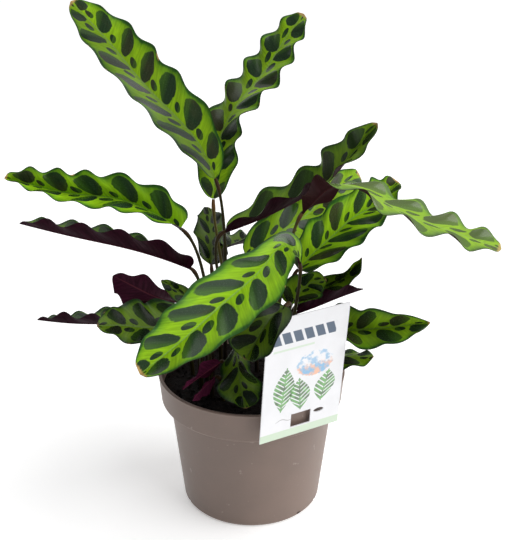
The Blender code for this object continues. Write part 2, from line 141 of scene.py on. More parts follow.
LEAVES = [
    Leaf("a", (-20, 12), [(-26, 20, 249), (-37, 28, 271), (-57, 38, 292), (-80, 50, 313),
         (-101, 62, 336), (-115, 68, 350), (-130, 75, 364)],
         46, (76, 95, 64), (-20, -20), (0.53, 0.47, 0.47), (5.8, 1.4, 0.08), (0.31, 0.53)),
    Leaf("b", (-14, 21), [(-28, 35, 228), (-27, 42, 246), (-22, 52, 272), (-11, 58, 292),
         (8, 68, 313), (24, 76, 336), (38, 82, 354)],
         39, (6, 0, -29), (-2, 15), (0.51, 0.4, 0.46), (6.7, 3.7, 0.06), (0.67, 0.08)),
    Leaf("d", (-29, -1), [(-50, -5, 220), (-64, -10, 231), (-94, -15, 246), (-122, -20, 251),
         (-148, -22, 258), (-166, -22, 263)],
         45, (42, 54, 39), (65, 52), (0.35, 0.5, 0.41), (5.7, 3.6, 0.11), (0.48, 0.0)),
    Leaf("e", (-33, -11), [(-44, -10, 192), (-57, -20, 202), (-83, -30, 215),
         (-119, -38, 227), (-154, -42, 238)],
         41, (-29, -31, -34), (43, 14), (0.5, 0.5, 0.45), (4.8, 2.4, 0.04), (0.0, 0.16)),
    Leaf("f", (-39, 4), [(-48, 0, 161), (-66, -10, 169), (-82, -20, 182), (-96, -28, 194)],
         40, (-16, -37, -71), (-9, -9), (0.55, 0.68, 0.44), (2.6, 2.4, 0.05), (0.43, 0.51)),
    Leaf("g", (-29, -22), [(-44, -35, 169), (-67, -50, 165), (-83, -60, 171), (-102, -72, 177)],
         38, (35, 37, 40), (17, 14), (0.58, 0.53, 0.43), (2.9, 2.6, 0.07), (0.87, 0.66)),
    Leaf("h", (-45, 11), [(-68, 5, 142), (-96, -5, 146), (-130, -15, 151), (-153, -20, 156)],
         36, (-3, -15, -37), (22, 23), (0.55, 0.61, 0.44), (3.8, 2.4, 0.05), (0.98, 0.28)),
    Leaf("i", (-24, 31), [(-31, 50, 169), (-32, 70, 177), (-33, 90, 186), (-35, 110, 194)],
         30, (-22, -27, -19), (14, 9), (0.45, 0.62, 0.45), (2.6, 2.7, 0.05), (0.04, 0.65)),
    Leaf("j", (-11, 3), [(-18, 0, 216), (7, 0, 226), (33, -1, 240), (51, -3, 252),
         (64, -7, 269), (84, -12, 298)],
         39, (4, -6, -75), (38, 37), (0.5, 0.48, 0.42), (4.4, 3.5, 0.06), (0.03, 0.3)),
    Leaf("k", (16, -14), [(35, -24, 239), (43, -40, 255), (53, -56, 269), (63, -68, 273),
         (78, -80, 269), (101, -95, 261), (127, -107, 255), (149, -114, 249)],
         43, (12, 14, -10), (8, 6), (0.75, 0.4, 0.55), (5.8, 3.5, 0.06), (0.63, 0.92)),
    Leaf("l", (26, -2), [(34, 2, 186), (48, 8, 199), (63, 14, 211), (73, 18, 219),
         (85, 24, 224), (107, 36, 241)],
         49, (-30, -43, -17), (31, 60), (0.35, 0.4, 0.44), (4.8, 4.3, 0.05), (0.05, 0.57)),
    Leaf("m", (25, -23), [(32, -52, 214), (28, -60, 227), (20, -70, 233), (7, -90, 227),
         (-16, -113, 214), (-37, -131, 201), (-66, -148, 183)],
         47, (84, 49, 29), (36, 30), (0.67, 0.4, 0.6), (6.1, 1.5, 0.05), (0.95, 0.18)),
    Leaf("n", (12, -33), [(21, -80, 195), (13, -88, 191), (4, -96, 180), (-4, -102, 168)],
         45, (10, 12, 19), (34, 29), (0.44, 0.4, 0.53), (1.9, 1.9, 0.05), (0.73, 0.6)),
    Leaf("o", (-9, -20), [(-11, -32, 142), (-9, -46, 131), (-7, -56, 119), (-4, -64, 109)],
         35, (-84, -52, 24), (14, 17), (0.51, 0.34, 0.45), (2.3, 2.2, 0.06), (0.08, 0.2)),
    Leaf("p", (-19, -16), [(-23, -34, 129), (-31, -42, 127), (-39, -49, 124), (-48, -55, 119)],
         16, (-101, -60, -22), (14, 18), (0.55, 0.62, 0.44), (1.9, 1.7, 0.05), (0.13, 0.5)),
    Leaf("q", (34, -8), [(38, -25, 144), (70, -35, 155), (87, -42, 160), (102, -48, 165),
         (121, -55, 171)],
         38, (34, -52, -69), (34, 54), (0.52, 0.67, 0.48), (3.5, 3.1, 0.08), (0.88, 0.39)),
    Leaf("r", (19, -3), [(29, -12, 165), (34, -17, 176), (42, -22, 186), (52, -26, 190)],
         31, (-149, -133, -97), (1, 7), (0.59, 0.55, 0.45), (2.1, 1.6, 0.05), (0.72, 0.8)),
    Leaf("s", (-9, 32), [(-19, 45, 186), (-9, 62, 182), (3, 80, 176), (13, 95, 171)],
         34, (12, 6, -2), (22, 22), (0.55, 0.62, 0.44), (2.6, 2.2, 0.05), (0.74, 0.74)),
    Leaf("t", (26, 14), [(35, 18, 150), (50, 18, 160), (66, 18, 170), (81, 18, 188)],
         29, (-49, -70, -105), (68, 52), (0.57, 0.64, 0.43), (2.4, 2.6, 0.05), (0.09, 0.45)),
    Leaf("u", (-37, -18), [(-42, -26, 172), (-51, -30, 183), (-62, -34, 193)],
         13, (93, 94, 95), (22, 22), (0.55, 0.62, 0.44), (2.0, 1.1, 0.05), (0.8, 0.5)),
    Leaf("v", (30, -20), [(35, -24, 126), (56, -30, 132), (73, -36, 135), (86, -40, 137)],
         31, (18, 5, -16), (-12, -12), (0.54, 0.59, 0.44), (2.5, 1.9, 0.05), (0.41, 0.96)),
    Leaf("w", (4, 14), [(-4, 20, 188), (13, 30, 197), (25, 38, 203), (37, 46, 208),
         (60, 58, 223), (82, 70, 236)],
         41, (-47, -76, -77), (22, 21), (0.43, 0.4, 0.44), (4.0, 2.5, 0.04), (0.14, 0.14)),
    Leaf("x", (40, 0), [(34, 4, 150), (49, 2, 157), (65, 0, 165), (81, -2, 172)],
         30, (37, 33, 29), (22, 22), (0.55, 0.62, 0.44), (2.2, 1.8, 0.05), (0.41, 0.49)),
    Leaf("y", (-21, -28), [(-26, -42, 121), (-32, -48, 118), (-37, -53, 115), (-41, -57, 111)],
         13, (103, 103, 103), (22, 22), (0.55, 0.62, 0.44), (2.0, 0.9, 0.05), (0.95, 0.5)),
]

# Blotches that don't sit on the waves: their count along a leaf, where they start on its
# right and left half, and their slant to the midrib there
MARKS = {
    "a": (7.0, 0.30, 0.71, 60.0, 32.0),
    "b": (6.7, 0.98, 0.69, 50.0, 68.0),
    "d": (5.2, 0.44, 0.37, 52.0, 50.0),
    "k": (5.8, 0.37, 0.87, 50.0, 50.0),
    "l": (5.2, 0.47, 0.98, 42.0, 60.0),
    "m": (6.0, 0.26, 0.54, 36.0, 56.0),
    "w": (4.4, 0.05, 0.55, 50.0, 55.0),
}

# Brightness of each leaf: partly its own tone, the older leaves darker and the younger
# paler, and partly painted shade on the leaves that sit in shade or face away from the
# light; and the leaves that are still rolled up, which show their underside alone
TONES_AND_SHADE = {
    "b": 0.95, "d": 1.2, "e": 0.75, "f": 1.25, "g": 0.36, "h": 0.6, "i": 0.2, "j": 0.66,
    "k": 1.2, "l": 1.15, "m": 1.15, "n": 0.26, "o": 0.34, "p": 2.6, "q": 0.8, "r": 0.5,
    "s": 0.32, "t": 0.4, "u": 0.3, "v": 0.6, "w": 1.1, "x": 0.8, "y": 2.4,
}
ROLLED = ("p", "y")
OLIVE_STEMS = ("b", "k")
# How far a leaf's upper face turns pale grey green, a painted sheen standing in for the
# reflection of the bright room; on the underside the same value mixes in rust brown
SHEEN_AND_RUST = {"k": 0.26, "j": 0.04}
OLIVE_STEM_TONE = 1.3
DARK_STEM_TONE = 0.5

# The colours of the markings, and for the large and the small blotch: how far along its
# space it starts, its centre and its half width and half length, how much the width varies,
# and a seed
MARK_COLOURS = ("Light", "Outer", "Margin", "Blotch", "Bronze", "Rib", "Dry")
LARGE_BLOTCH = (0.0, 0.46, 0.31, 0.415, 0.12, 3.0)
SMALL_BLOTCH = (0.46, 0.215, 0.18, 0.13, 0.25, 41.0)
# Blotch spaces that each leaf keeps to itself, half of them for each side
PATTERN_CELLS = 40.0


# Settings


def colour_property(name, description, default):
    """A colour setting with red, green and blue."""
    return FloatVectorProperty(
        name=name, description=description, default=default, subtype="COLOR", size=3,
        min=0.0, max=1.0)


def length_property(name, description, default):
    """A length setting in metres."""
    return FloatProperty(
        name=name, description=description, default=default, unit="LENGTH", min=0.0,
        precision=5)


def strength_property(name, description, default):
    """A brightness or power that isn't below zero."""
    return FloatProperty(name=name, description=description, default=default, min=0.0)


class LeafSettings(bpy.types.PropertyGroup):
    """Sizes and colours of the leaves and stems."""

    thickness: length_property("Thickness", "Thickness of a blade at its middle", 0.0005)
    spacing: length_property("Station spacing", "Step of the mesh along a blade", 0.0014)
    columns: IntProperty(
        name="Columns", description="Points across a blade", default=33, min=9, max=65)
    sides: IntProperty(
        name="Stem sides", description="Faces round a stem", default=14, min=6, max=32)
    light: colour_property(
        "Light green", "Colour between the blotches", (0.255, 0.475, 0.010))
    outer: colour_property(
        "Outer green", "Colour of the outer half of the blade", (0.095, 0.250, 0.010))
    margin: colour_property("Margin", "Colour of the dark rim", (0.018, 0.075, 0.010))
    blotch: colour_property("Blotch", "Colour of the dark blotches", (0.016, 0.040, 0.014))
    bronze: colour_property("Bronze", "Brown tint in some blotches", (0.044, 0.048, 0.018))
    rib: colour_property("Midrib", "Colour of the midrib", (0.24, 0.42, 0.07))
    dry: colour_property("Dry tips", "Tan of dry tips and specks", (0.50, 0.33, 0.12))
    purple: colour_property("Underside", "Wine colour below", (0.031, 0.0038, 0.013))
    # Colour of the painted sheen that stands in for the bright room reflected on a leaf's upper
    # face
    painted_sheen: colour_property("Painted sheen", "Pale grey green of a dull leaf", (0.34, 0.46, 0.14))
    rust: colour_property("Rust", "Brown of an ageing underside", (0.020, 0.007, 0.004))
    stem: colour_property("Stem", "Olive colour of the stems", (0.060, 0.050, 0.007))
    swelling: colour_property(
        "Swelling", "Colour of the joint under the blade", (0.095, 0.045, 0.015))
    foot: colour_property("Stem foot", "Red brown near the soil", (0.018, 0.009, 0.006))


class PotSettings(bpy.types.PropertyGroup):
    """Sizes and colours of the pot and the soil."""

    segments: IntProperty(
        name="Segments", description="Faces round the pot", default=360, min=48, max=720)
    plastic: colour_property("Plastic", "Taupe of the pot", (0.205, 0.146, 0.119))
    dust: colour_property("Dust", "Paler dust on the pot", (0.34, 0.29, 0.26))
    soil: colour_property("Soil", "Damp potting soil", (0.0055, 0.0035, 0.0030))
    crumb: colour_property("Crumbs", "Drier crumbs of the soil", (0.020, 0.012, 0.009))
    crumbs: IntProperty(
        name="Crumbs", description="Loose crumbs on the soil", default=420, min=0, max=2000)


class CardSettings(bpy.types.PropertyGroup):
    """Colours of the care card."""

    paper: colour_property("Paper", "White of the card", (0.83, 0.83, 0.85))
    ink: colour_property("Ink", "Slate blue of the header", (0.10, 0.135, 0.19))
    band: colour_property("Band", "Pale green of the foot band", (0.55, 0.70, 0.50))
    sprig: colour_property("Sprig", "Green of the printed sprigs", (0.11, 0.36, 0.07))
    wash: colour_property("Wash", "Blue of the painted wash", (0.28, 0.50, 0.72))
    peach: colour_property("Peach", "Peach of the painted wash", (0.85, 0.52, 0.38))


class StageSettings(bpy.types.PropertyGroup):
    """The camera and the lights."""

    distance: length_property("Distance", "Camera to the middle of the plant", 0.750)
    height: length_property("Aim height", "Height the camera looks at", 0.186)
    tilt: FloatProperty(
        name="Tilt", description="How far the camera looks down", subtype="ANGLE",
        default=math.radians(23.46))
    lens: FloatProperty(
        name="Lens", description="Focal length in millimetres", default=69.36, min=10.0)
    key: strength_property("Key light", "Strength of the soft light from the right", 3.0)
    fill: strength_property(
        "Fill light", "Power of the small panel behind the plant, in watts", 7.0)
    sky: strength_property("Room light", "Brightness of the even light all round", 0.20)
    glow: strength_property(
        "Floor glow", "Light that the pale floor adds of its own", 0.39)
    floor: colour_property("Floor", "Pale floor", (0.92, 0.92, 0.92))


# Curves and surfaces


def unit(vectors):
    """The same directions with length one."""
    return vectors / np.linalg.norm(vectors, axis=-1, keepdims=True)


def smooth_curve(points, count):
    """A natural cubic spline through the points, sampled at even steps of its length."""
    points = np.asarray(points, dtype=float)
    steps = np.linalg.norm(np.diff(points, axis=0), axis=1)
    knots = np.concatenate([[0.0], np.cumsum(steps)]) / steps.sum()
    gaps = np.diff(knots)
    size = len(points)
    system = np.eye(size)
    for row in range(1, size - 1):
        before, after = gaps[row - 1:row + 1]
        system[row, row - 1:row + 2] = (before, 2.0 * (before + after), after)
    slopes = np.diff(points, axis=0) / gaps[:, None]
    turns = np.zeros_like(points)
    turns[1:-1] = 6.0 * np.diff(slopes, axis=0)
    bends = np.linalg.solve(system, turns)

    def at(where):
        cell = np.clip(np.searchsorted(knots, where, side="right") - 1, 0, size - 2)
        gap = gaps[cell][:, None]
        right = (where - knots[cell])[:, None] / gap
        left = 1.0 - right
        bend = (left ** 3 - left) * bends[cell] + (right ** 3 - right) * bends[cell + 1]
        return left * points[cell] + right * points[cell + 1] + bend * gap ** 2 / 6.0

    fine = np.linspace(0.0, 1.0, 400)
    lengths = np.linalg.norm(np.diff(at(fine), axis=0), axis=1)
    travelled = np.concatenate([[0.0], np.cumsum(lengths)])
    even = np.interp(np.linspace(0.0, travelled[-1], count), travelled, fine)
    return at(even), travelled[-1]


def half_width(spec, along):
    """Half the width along the leaf: a power of a sine, blunter or sharper at each end."""
    base, tip, peak = spec.outline
    skew = math.log(0.5) / math.log(peak)
    arch = np.clip(np.sin(np.pi * along ** skew), 0.0, None)
    half = spec.width / 2.0 * arch ** (base + (tip - base) * along)
    least = END_HALF_WIDTH[0] + (END_HALF_WIDTH[1] - END_HALF_WIDTH[0]) * along
    return np.maximum(half, least)


def blade_surface(spec, stations, across):
    """The leaf's middle surface: midrib curve plus a folded, rolled cross line whose outer
    part rises and falls along the edge as a cosine, the waves running out along the veins.
    Returns the points, the half widths and the length."""
    curve, length = smooth_curve(spec.spine, stations)
    along = np.linspace(0.0, 1.0, stations)
    ahead = unit(np.gradient(curve, axis=0))
    level = unit(np.cross(ahead, (0.0, 0.0, 1.0)))
    above = np.cross(level, ahead)
    turn = np.radians(np.interp(along, (0.0, 0.5, 1.0), spec.roll))[:, None]
    side = level * np.cos(turn) + above * np.sin(turn)
    lift = above * np.cos(turn) - level * np.sin(turn)
    half = half_width(spec, along)[:, None]
    along = along[:, None]
    count, height, scallop = spec.waves
    fade = np.clip(np.minimum(along / WAVE_RISE, (1.0 - along) / WAVE_FALL), 0.0, 1.0)
    reach = np.abs(across)[None, :]
    right = (across > 0)[None, :]
    slope = np.radians(np.where(right, spec.fold[0], spec.fold[1]))
    start = np.where(right, spec.phase[0], spec.phase[1])
    shift = reach * half / math.tan(math.radians(VEIN_ANGLE)) / length
    wave = 2.0 * np.pi * ((along - shift) * count + start)
    span = reach * half * (1.0 + scallop * np.sin(wave) * fade)
    rise = span * np.sin(slope) + height * reach ** WAVE_POWER * np.cos(wave) * fade
    out = span * np.cos(slope) * np.where(right, 1.0, -1.0)
    grid = (curve[:, None] + out[..., None] * side[:, None]
            + rise[..., None] * lift[:, None])
    return grid, half, length


def vein_places(spec, half, length, across, stations):
    """For the right and the left half, how many blotch spaces lie between the leaf's base
    and each point, counted where the vein through the point leaves the midrib. Each leaf and
    side starts at its own whole number, so that no two leaves have the same chance shapes."""
    count = spec.waves[0]
    marks = MARKS.get(spec.name, (count, *spec.phase, MARK_ANGLE, MARK_ANGLE))
    along = np.linspace(0.0, 1.0, stations)[:, None]
    start = PATTERN_CELLS * LEAVES.index(spec)
    sides = []
    for side in (0, 1):
        slant = math.tan(math.radians(marks[3 + side]))
        shift = np.abs(across)[None, :] * half / slant / length
        start += PATTERN_CELLS / 2.0 * side
        sides.append((along - shift) * marks[0] + marks[1 + side] + start)
    return sides


# Meshes


def grid_quads(rows, columns, closed=False):
    """Quads of a grid of points numbered row by row, wrapped round if closed."""
    wide = columns if closed else columns - 1
    row, column = np.meshgrid(np.arange(rows - 1), np.arange(wide), indexing="ij")
    following = (column + 1) % columns
    corners = (row * columns + column, row * columns + following,
               (row + 1) * columns + following, (row + 1) * columns + column)
    return np.stack(corners, axis=-1).reshape(-1, 4)


def make_piece(name, vertices, faces, materials, indices=None, maps=None, fields=None,
               angle=None):
    """A smooth mesh at the origin from points in millimetres. maps holds the UV values for
    each corner of each face, fields one value for each point, and edges sharper than the
    angle stay crisp."""
    vertices = np.asarray(vertices).reshape(-1, 3)
    mesh = bpy.data.meshes.new(name)
    mesh.vertices.add(len(vertices))
    mesh.vertices.foreach_set("co", (vertices * MM).astype(np.float32).ravel())
    faces = np.asarray(faces, dtype=np.int32)
    mesh.loops.add(faces.size)
    mesh.loops.foreach_set("vertex_index", faces.ravel())
    mesh.polygons.add(len(faces))
    starts = np.arange(len(faces), dtype=np.int32) * faces.shape[1]
    mesh.polygons.foreach_set("loop_start", starts)
    mesh.polygons.foreach_set("use_smooth", np.ones(len(faces), dtype=bool))
    for material in materials:
        mesh.materials.append(material)
    if indices is not None:
        mesh.polygons.foreach_set("material_index", np.asarray(indices, dtype=np.int32))
    mesh.update(calc_edges=True)
    for title, values in (maps or {}).items():
        layer = mesh.uv_layers.new(name=title)
        layer.data.foreach_set("uv", values.astype(np.float32).ravel())
    for title, values in (fields or {}).items():
        values = np.broadcast_to(np.ravel(values), len(vertices)).astype(np.float32)
        mesh.attributes.new(title, "FLOAT", "POINT").data.foreach_set("value", values)
    mesh.validate()
    if angle is not None:
        mesh.set_sharp_from_angle(angle=math.radians(angle))
    piece = bpy.data.objects.new(name, mesh)
    bpy.context.scene.collection.objects.link(piece)
    return piece


def seal(piece, merge=True):
    """Merges the points that meet at a pole, if asked, and turns all faces outwards."""
    work = bmesh.new()
    work.from_mesh(piece.data)
    if merge:
        bmesh.ops.remove_doubles(work, verts=work.verts, dist=MERGE_DISTANCE)
    bmesh.ops.recalc_face_normals(work, faces=work.faces)
    work.to_mesh(piece.data)
    work.free()


def gather(items, name, parts=1, kind=np.float32):
    """One property of each vertex, corner or face of a mesh, as an array."""
    values = np.empty(len(items) * parts, dtype=kind)
    items.foreach_get(name, values)
    return values.reshape(-1, parts).squeeze()


def seat(piece, node):
    """Lets the piece stand for its frame node: hangs it on the root and hides that node."""
    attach(piece, "root")
    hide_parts(node)


def tube(path, radius, sides):
    """Points of a round tube: at each path point a circle of the radius across the path,
    its first spoke lying in the plane that the whole path bends in."""
    ahead = unit(np.gradient(path, axis=0))
    chord = path[-1] - path[0]
    plane = np.cross(chord, path[len(path) // 2] - path[0] + (0.01, 0.02, 0.0))
    other = unit(plane - ahead * (ahead @ plane)[:, None])
    spoke = np.cross(other, ahead)
    turns = 2.0 * np.pi * np.arange(sides) / sides
    ring = (np.cos(turns)[None, :, None] * spoke[:, None]
            + np.sin(turns)[None, :, None] * other[:, None])
    return path[:, None] + radius[:, None, None] * ring


def lathe_grid(profile, segments):
    """Points of a profile of (radius, height) turned about the vertical axis."""
    turns = 2.0 * np.pi * np.arange(segments) / segments
    radius, height = np.asarray(profile).T
    return np.stack([
        radius[:, None] * np.cos(turns), radius[:, None] * np.sin(turns),
        np.repeat(height[:, None], segments, axis=1)], axis=-1)


def rounded(profile, size=0.7, steps=4):
    """The profile with each inner corner replaced by a short parabola whose ends lie the
    given size, or less, back along both sides."""
    points = np.asarray(profile, dtype=float)
    result = [points[0]]
    for before, corner, after in zip(points[:-2], points[1:-1], points[2:]):
        back = before - corner
        ahead = after - corner
        start = corner + back * min(0.4, size / np.linalg.norm(back))
        end = corner + ahead * min(0.4, size / np.linalg.norm(ahead))
        for share in np.linspace(0.0, 1.0, steps):
            result.append((1 - share) ** 2 * start + 2 * share * (1 - share) * corner
                          + share ** 2 * end)
    result.append(points[-1])
    return np.array(result)


def ripple(points, scale, seed, octaves=3):
    """A smooth random height at each point: a sum of sines in random directions, each octave
    twice as fine and half as high, between about minus one and one."""
    random = np.random.default_rng(seed)
    height = np.zeros(points.shape[:-1])
    for octave in range(octaves):
        for _ in range(7):
            way = random.normal(size=points.shape[-1])
            way = way / np.linalg.norm(way) * random.uniform(0.7, 1.3)
            height += (np.sin(points @ way * scale * 2.0 ** octave
                              + random.uniform(0.0, 2.0 * np.pi)) * 0.5 ** octave)
    return height / 5.0


# Shader nodes

VALUE, COLOUR, VECTOR = "NodeSocketFloat", "NodeSocketColor", "NodeSocketVector"
GRAIN = "Fine grain"


def sign(operation):
    """What an arithmetic sign does to a term: it adds the Math node for it."""
    def method(self, other=0.0):
        return self.graph.math(operation, self, other)
    return method


class Term:
    """What a node puts out, so that formulas are written with plain signs."""

    def __init__(self, graph, socket):
        self.graph = graph
        self.socket = socket

    __add__ = sign("ADD")
    __sub__ = sign("SUBTRACT")
    __mul__ = sign("MULTIPLY")
    __truediv__ = sign("DIVIDE")
    __pow__ = sign("POWER")
    __abs__ = sign("ABSOLUTE")


class Graph:
    """Adds nodes to a tree and joins them: a term is linked and a number is set."""

    def __init__(self, tree):
        self.tree = tree

    def node(self, kind, inputs=None, **settings):
        """A node with its settings made and its inputs fed."""
        node = self.tree.nodes.new(kind)
        for name, value in settings.items():
            setattr(node, name, value)
        for name, value in (inputs or {}).items():
            self.feed(node.inputs[name], value)
        return node

    def feed(self, socket, value):
        """Links a term or sets a plain value."""
        if isinstance(value, Term):
            self.tree.links.new(value.socket, socket)
        elif hasattr(socket.default_value, "__len__") and hasattr(value, "__len__"):
            size = len(socket.default_value)
            socket.default_value = (*value, 1.0)[:size]
        else:
            socket.default_value = value

    def terms(self, node):
        """All that a node puts out, by name."""
        return {socket.name: Term(self, socket) for socket in node.outputs}

    def term(self, kind, inputs=None, output=0, **settings):
        """One thing that a new node puts out."""
        return Term(self, self.node(kind, inputs, **settings).outputs[output])

    def math(self, operation, first, second=0.0):
        """One arithmetic step."""
        return self.term("ShaderNodeMath", {0: first, 1: second}, operation=operation)

    def span(self, value, low, high, start=0.0, end=1.0):
        """The value carried from one range to another in a smooth step."""
        inputs = {"Value": value, "From Min": low, "From Max": high, "To Min": start,
                  "To Max": end}
        return self.term("ShaderNodeMapRange", inputs, interpolation_type="SMOOTHSTEP")

    def mix(self, share, first, second, blend="MIX"):
        """Two colours mixed by a share."""
        return self.term("ShaderNodeMix", {0: share, 6: first, 7: second}, 2,
                         data_type="RGBA", blend_type=blend)

    def shaded(self, colour, brightness):
        """A colour times a brightness."""
        grey = self.term("ShaderNodeCombineColor", dict.fromkeys(range(3), brightness))
        return self.mix(1.0, colour, grey, "MULTIPLY")

    def noise(self, vector, scale, detail=3.0, roughness=0.55):
        """Cloud noise between zero and one."""
        inputs = {"Vector": vector, "Scale": scale, "Detail": detail,
                  "Roughness": roughness}
        return self.term("ShaderNodeTexNoise", inputs)

    def split(self, vector):
        """The three parts of a vector."""
        return list(self.terms(self.node("ShaderNodeSeparateXYZ", {0: vector})).values())

    def join(self, first, second=0.0, third=0.0):
        """A vector of three parts."""
        return self.term("ShaderNodeCombineXYZ", {0: first, 1: second, 2: third})

    def place(self):
        """Object coordinates."""
        return self.term("ShaderNodeTexCoord", output="Object")

    def map(self, name):
        """A UV map of the piece."""
        return self.term("ShaderNodeUVMap", uv_map=name)

    def field(self, name):
        """A value that the piece holds for each of its points."""
        return self.term("ShaderNodeAttribute", output="Fac", attribute_name=name)

    def use(self, group, **inputs):
        """A copy of a node group with its inputs fed."""
        return self.terms(self.node("ShaderNodeGroup", inputs, node_tree=group))

    def oval(self, across, along, wide, long):
        """Distance from the centre of an oval, one on its rim."""
        return self.math("SQRT", abs(across / wide) ** 2.0 + abs(along / long) ** 2.0)


class Surface(Graph):
    """The graph of a new material, round its Principled shader."""

    def __init__(self, name):
        self.material = bpy.data.materials.new(name)
        self.material.use_nodes = True
        super().__init__(self.material.node_tree)

    def finish(self, inputs, height=None, strength=0.0, distance=0.0):
        """The material, once its shader's inputs are fed. A height becomes a bump of the
        given strength, and of the given distance in metres."""
        if height is not None:
            relief = {"Height": height, "Strength": strength, "Distance": distance}
            inputs["Normal"] = self.term("ShaderNodeBump", relief)
        shader = self.tree.nodes["Principled BSDF"]
        for name, value in inputs.items():
            self.feed(shader.inputs[name], value)
        return self.material


def new_group(name, inputs, outputs):
    """An empty node group with its named sockets, a graph to fill it, and its inputs."""
    group = bpy.data.node_groups.new(name, "ShaderNodeTree")
    for side, sockets in (("INPUT", inputs), ("OUTPUT", outputs)):
        for title, kind in sockets.items():
            group.interface.new_socket(title, in_out=side, socket_type=kind)
    graph = Graph(group)
    return group, graph, graph.terms(graph.node("NodeGroupInput"))


def marking_group():
    """Rattlesnake markings. Along the veins the blade is cut into spaces; each holds one
    large oval blotch from the midrib almost to the rim and one small blotch beside the
    midrib half a space further on, over a green that darkens to the rim."""
    group, graph, given = new_group(
        "Rattlesnake markings",
        {"Veins": VECTOR, "Blade": VECTOR, **dict.fromkeys(MARK_COLOURS, COLOUR)},
        {"Color": COLOUR, "Gloss": VALUE, "Height": VALUE})
    across, signed, _ = graph.split(given["Veins"])
    along = graph.split(given["Blade"])[0]
    reach = abs(signed)
    flat = graph.join(across, signed * 1.5)
    ragged = graph.noise(flat, 3.2, 2.0) - 0.5
    streaks = graph.noise(graph.join(across * 12.0, signed), 1.4)
    dapple = graph.noise(flat, 1.1, 2.0)

    def blotch(offset, centre, wide, long, spread, seed):
        """A mask of one oval blotch in each space, one chance number and the place across
        the space."""
        place = across + (0.5 + offset)
        cell = graph.math("FLOOR", place)
        inside = place - cell - 0.5
        key = graph.join(cell + seed, seed)
        chance = graph.term("ShaderNodeTexWhiteNoise", {0: key}, "Color",
                            noise_dimensions="3D")
        red, green, blue = graph.split(chance)
        moved = inside + graph.span(red, 0.0, 1.0, -0.045, 0.045)
        rim = reach - graph.span(green, 0.0, 1.0, centre - 0.03, centre + 0.03)
        width = graph.span(blue, 0.0, 1.0, wide * (1.0 - spread), wide * (1.0 + spread))
        width = width * graph.span(reach, 0.0, 0.75, 0.78, 1.06)
        away = graph.oval(moved, rim, width, long) + ragged * 0.34
        return graph.span(away, 1.05, 0.95), red, inside

    large, chance, inside = blotch(*LARGE_BLOTCH)
    small, _, _ = blotch(*SMALL_BLOTCH)
    dark = graph.math("MAXIMUM", large, small)
    edge = reach + ragged * 0.22
    green = graph.mix(graph.span(edge, 0.55, 1.0), given["Light"], given["Outer"])
    green = graph.mix(graph.span(dapple, 0.52, 0.80, 0.0, 0.4), green, given["Outer"])
    green = graph.mix(graph.span(edge, 0.84, 0.97), green, given["Margin"])
    bronze = graph.span(chance + (dapple - 0.5), 0.50, 1.0, 0.0, 0.8)
    tint = graph.mix(bronze, given["Blotch"], given["Bronze"])
    faded = graph.mix(0.30, tint, given["Outer"])
    tint = graph.mix(graph.span(inside, -0.02, 0.24), tint, faded)
    colour = graph.mix(dark, green, tint)
    colour = graph.mix(graph.span(reach, 0.040, 0.022, 0.0, 0.95), colour, given["Rib"])
    colour = graph.shaded(colour, graph.span(streaks, 0.3, 0.7, 0.78, 1.13))
    specks = graph.span(graph.noise(flat, 2.3, 1.0), 0.70, 0.73)
    specks = specks * graph.span(reach, 0.90, 0.97)
    tip = graph.span(along + ragged * 0.02, 0.982, 0.992)
    colour = graph.mix(graph.math("MAXIMUM", specks, tip), colour, given["Dry"])
    graph.node("NodeGroupOutput", {"Color": colour, "Gloss": dark, "Height": streaks})
    return group


def fine_grain():
    """Fine grain from object coordinates, made once: soft clouds, small pits and a height."""
    if GRAIN in bpy.data.node_groups:
        return bpy.data.node_groups[GRAIN]
    group, graph, given = new_group(
        GRAIN, {"Scale": VALUE}, {"Clouds": VALUE, "Specks": VALUE, "Height": VALUE})
    place = graph.place()
    scale = given["Scale"]
    specks = graph.noise(place, scale * 9.0, 2.0, 0.7)
    graph.node("NodeGroupOutput", {
        "Clouds": graph.noise(place, scale, 4.0), "Specks": graph.span(specks, 0.66, 0.74),
        "Height": graph.noise(place, scale * 22.0, 3.0, 0.6)})
    return group


def scaled(colour, share):
    """A colour with all its parts that much stronger."""
    return tuple(value * share for value in colour)


def toned_and_shaded(graph, colour):
    """The colour times the piece's brightness: a stem's own tone, or a leaf's own tone with
    painted shade.
    """
    return graph.shaded(colour, graph.field("Tone"))


def leaf_top_material(settings):
    """Glossy green with the dark blotches, on the veins' own map, turned towards a painted
    sheen where the leaf's Pale value is set.
    """
    graph = Surface("Leaf upper face")
    colours = {name: getattr(settings, name.lower()) for name in MARK_COLOURS}
    marks = graph.use(marking_group(), Veins=graph.map("Veins"), Blade=graph.map("Blade"),
                      **colours)
    spots = graph.noise(graph.place(), 900.0, 2.0)
    bright = graph.span(graph.field("Tone"), 0.6, 1.1, 0.0, 0.4)
    return graph.finish({
        # The Pale value mixes in the painted sheen; the tone also holds painted shade
        "Base Color": graph.mix(
            graph.field("Pale"), toned_and_shaded(graph, marks["Color"]), settings.painted_sheen),
        "Roughness": graph.span(marks["Gloss"] + (spots - 0.5), 0.0, 1.0, 0.40, 0.27),
        "Specular IOR Level": 0.16,
        "Coat Weight": bright * marks["Gloss"],
        "Coat Roughness": 0.22,
    }, marks["Height"] + spots * 0.08, 0.35, 0.0004)


